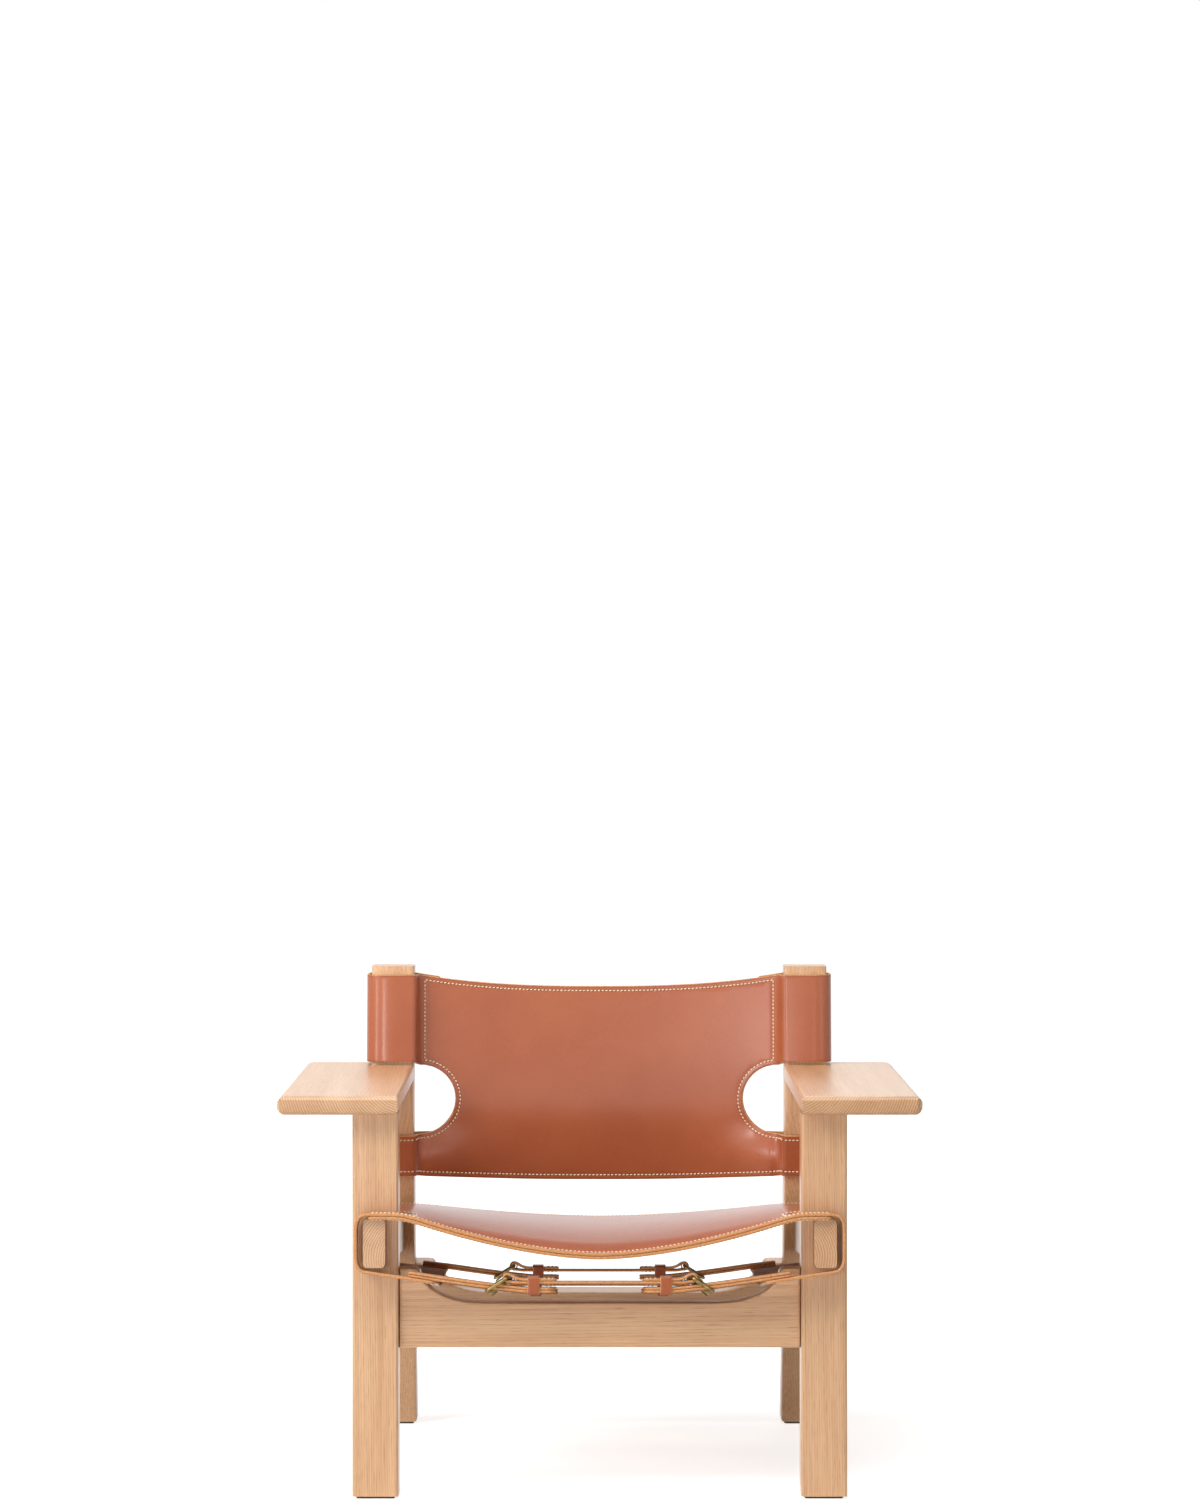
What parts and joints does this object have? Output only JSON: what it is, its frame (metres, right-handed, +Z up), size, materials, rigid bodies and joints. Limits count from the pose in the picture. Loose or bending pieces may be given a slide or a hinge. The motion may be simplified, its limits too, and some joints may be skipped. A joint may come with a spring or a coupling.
{
  "type": "leather sling lounge chair",
  "caption": "Low oak lounge chair with broad flat armrests and a saddle leather seat and back, slung from the frame and pulled tight by buckled straps.",
  "frame": {"origin": "middle of the chair's outline on the floor", "axes": "+X to the viewer's right from the front, +Y to the rear, +Z up"},
  "size_m": [0.825, 0.6024, 0.6545],
  "materials": {
    "oak": "pale soaped oak, fine grain, satin",
    "leather_hide": "smooth cognac saddle leather, half gloss",
    "leather_lining": "flesh side of the same leather, dull",
    "leather_strap": "bridle leather strap, burnished edges",
    "brass": "aged solid brass",
    "glide": "dark moulded glide"
  },
  "bodies": {
    "chair": {"front_leg_left": "oak", "front_leg_right": "oak", "rear_leg_left": "oak", "rear_leg_right": "oak", "armrest_left": "oak", "armrest_right": "oak", "seat_rail_left": "oak", "seat_rail_right": "oak", "front_stretcher": "oak", "rear_stretcher": "oak", "glide_front_left": "glide", "glide_front_right": "glide", "glide_rear_left": "glide", "glide_rear_right": "glide", "seat_hide": "leather_hide", "seat_lining": "leather_lining", "back_hide": "leather_hide", "back_lining": "leather_lining", "seat_strap_front": "leather_strap", "seat_strap_front_buckle_left": "brass", "seat_strap_front_keeper_left": "leather_strap", "seat_strap_front_billet_left": "leather_strap", "seat_strap_front_buckle_right": "brass", "seat_strap_front_keeper_right": "leather_strap", "seat_strap_front_billet_right": "leather_strap", "seat_strap_middle": "leather_strap", "seat_strap_middle_buckle_left": "brass", "seat_strap_middle_keeper_left": "leather_strap", "seat_strap_middle_billet_left": "leather_strap", "seat_strap_middle_buckle_right": "brass", "seat_strap_middle_keeper_right": "leather_strap", "seat_strap_middle_billet_right": "leather_strap", "seat_strap_rear": "leather_strap", "seat_strap_rear_buckle_left": "brass", "seat_strap_rear_keeper_left": "leather_strap", "seat_strap_rear_billet_left": "leather_strap", "seat_strap_rear_buckle_right": "brass", "seat_strap_rear_keeper_right": "leather_strap", "seat_strap_rear_billet_right": "leather_strap", "back_strap_upper": "leather_strap", "back_strap_upper_buckle_left": "brass", "back_strap_upper_keeper_left": "leather_strap", "back_strap_upper_buckle_right": "brass", "back_strap_upper_keeper_right": "leather_strap", "back_strap_lower": "leather_strap", "back_strap_lower_buckle_left": "brass", "back_strap_lower_keeper_left": "leather_strap", "back_strap_lower_buckle_right": "brass", "back_strap_lower_keeper_right": "leather_strap"},
    "seat_strap_front_prong_left": {"seat_strap_front_prong_left": "brass"},
    "seat_strap_front_prong_right": {"seat_strap_front_prong_right": "brass"},
    "seat_strap_middle_prong_left": {"seat_strap_middle_prong_left": "brass"},
    "seat_strap_middle_prong_right": {"seat_strap_middle_prong_right": "brass"},
    "seat_strap_rear_prong_left": {"seat_strap_rear_prong_left": "brass"},
    "seat_strap_rear_prong_right": {"seat_strap_rear_prong_right": "brass"},
    "back_strap_upper_prong_left": {"back_strap_upper_prong_left": "brass"},
    "back_strap_upper_prong_right": {"back_strap_upper_prong_right": "brass"},
    "back_strap_lower_prong_left": {"back_strap_lower_prong_left": "brass"},
    "back_strap_lower_prong_right": {"back_strap_lower_prong_right": "brass"}
  },
  "joints": [
    {"name": "seat_strap_front_prong_left_pivot", "type": "hinge", "parent": "chair", "child": "seat_strap_front_prong_left", "pos_m": [-0.118, -0.28149, 0.28667], "axis": [0, -0.9951, 0.0993], "range_deg": [0, 40]},
    {"name": "seat_strap_front_prong_right_pivot", "type": "hinge", "parent": "chair", "child": "seat_strap_front_prong_right", "pos_m": [0.118, -0.28149, 0.28667], "axis": [0, 0.9951, -0.0993], "range_deg": [0, 40]},
    {"name": "seat_strap_middle_prong_left_pivot", "type": "hinge", "parent": "chair", "child": "seat_strap_middle_prong_left", "pos_m": [-0.118, -0.06249, 0.25141], "axis": [0, -0.9951, 0.0993], "range_deg": [0, 40]},
    {"name": "seat_strap_middle_prong_right_pivot", "type": "hinge", "parent": "chair", "child": "seat_strap_middle_prong_right", "pos_m": [0.118, -0.06249, 0.25141], "axis": [0, 0.9951, -0.0993], "range_deg": [0, 40]},
    {"name": "seat_strap_rear_prong_left_pivot", "type": "hinge", "parent": "chair", "child": "seat_strap_rear_prong_left", "pos_m": [-0.118, 0.13751, 0.24135], "axis": [0, -0.9951, 0.0993], "range_deg": [0, 40]},
    {"name": "seat_strap_rear_prong_right_pivot", "type": "hinge", "parent": "chair", "child": "seat_strap_rear_prong_right", "pos_m": [0.118, 0.13751, 0.24135], "axis": [0, 0.9951, -0.0993], "range_deg": [0, 40]},
    {"name": "back_strap_upper_prong_left_pivot", "type": "hinge", "parent": "chair", "child": "back_strap_upper_prong_left", "pos_m": [-0.118, 0.21665, 0.58237], "axis": [0, 0.0211, -0.9998], "range_deg": [0, 40]},
    {"name": "back_strap_upper_prong_right_pivot", "type": "hinge", "parent": "chair", "child": "back_strap_upper_prong_right", "pos_m": [0.118, 0.21665, 0.58237], "axis": [0, -0.0211, 0.9998], "range_deg": [0, 40]},
    {"name": "back_strap_lower_prong_left_pivot", "type": "hinge", "parent": "chair", "child": "back_strap_lower_prong_left", "pos_m": [-0.118, 0.22069, 0.39087], "axis": [0, 0.0211, -0.9998], "range_deg": [0, 40]},
    {"name": "back_strap_lower_prong_right_pivot", "type": "hinge", "parent": "chair", "child": "back_strap_lower_prong_right", "pos_m": [0.118, 0.22069, 0.39087], "axis": [0, -0.0211, 0.9998], "range_deg": [0, 40]}
  ]
}
